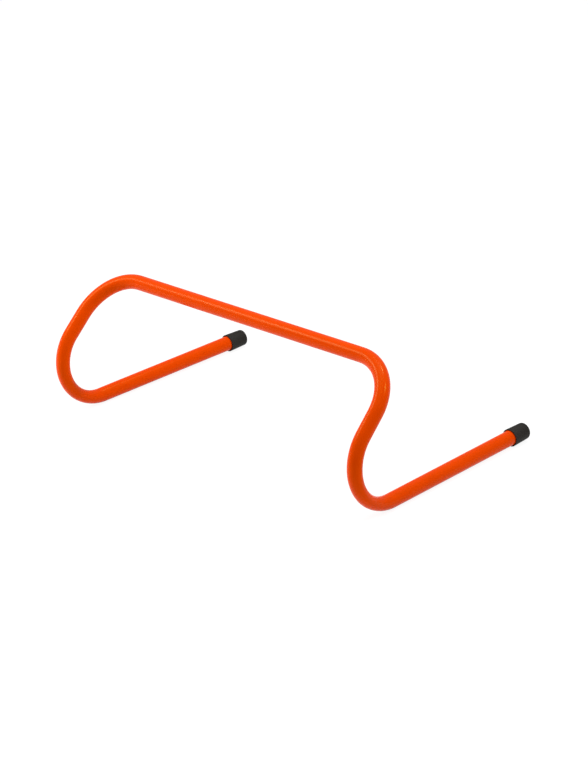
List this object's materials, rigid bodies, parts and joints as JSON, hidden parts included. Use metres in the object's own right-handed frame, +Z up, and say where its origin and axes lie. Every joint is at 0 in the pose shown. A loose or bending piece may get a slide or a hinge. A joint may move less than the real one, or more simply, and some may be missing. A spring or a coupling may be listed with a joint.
{
  "type": "speed hurdle",
  "caption": "Low speed hurdle bent from a continuous orange plastic tube: straight crossbar, leaning legs and long rear feet tipped with black push-on rubber caps.",
  "frame": {"origin": "on the floor, under the middle of the bounding box", "axes": "+X along the crossbar, +Y from the front bends back along the feet, +Z up"},
  "size_m": [0.4606, 0.2578, 0.1502],
  "materials": {
    "orange_tube": "smooth satin gloss, moulded-in colour",
    "black_cap": "matte"
  },
  "bodies": {
    "frame": {"hurdle_tube": "orange_tube"},
    "left_cap": {"left_end_cap": "black_cap"},
    "right_cap": {"right_end_cap": "black_cap"}
  },
  "joints": [
    {"name": "left_cap_pull", "type": "slide", "parent": "frame", "child": "left_cap", "axis": [0.033, 0.9994, 0.0086], "range_m": [0, 0.018]},
    {"name": "right_cap_pull", "type": "slide", "parent": "frame", "child": "right_cap", "axis": [-0.033, 0.9994, 0.0086], "range_m": [0, 0.018]}
  ]
}
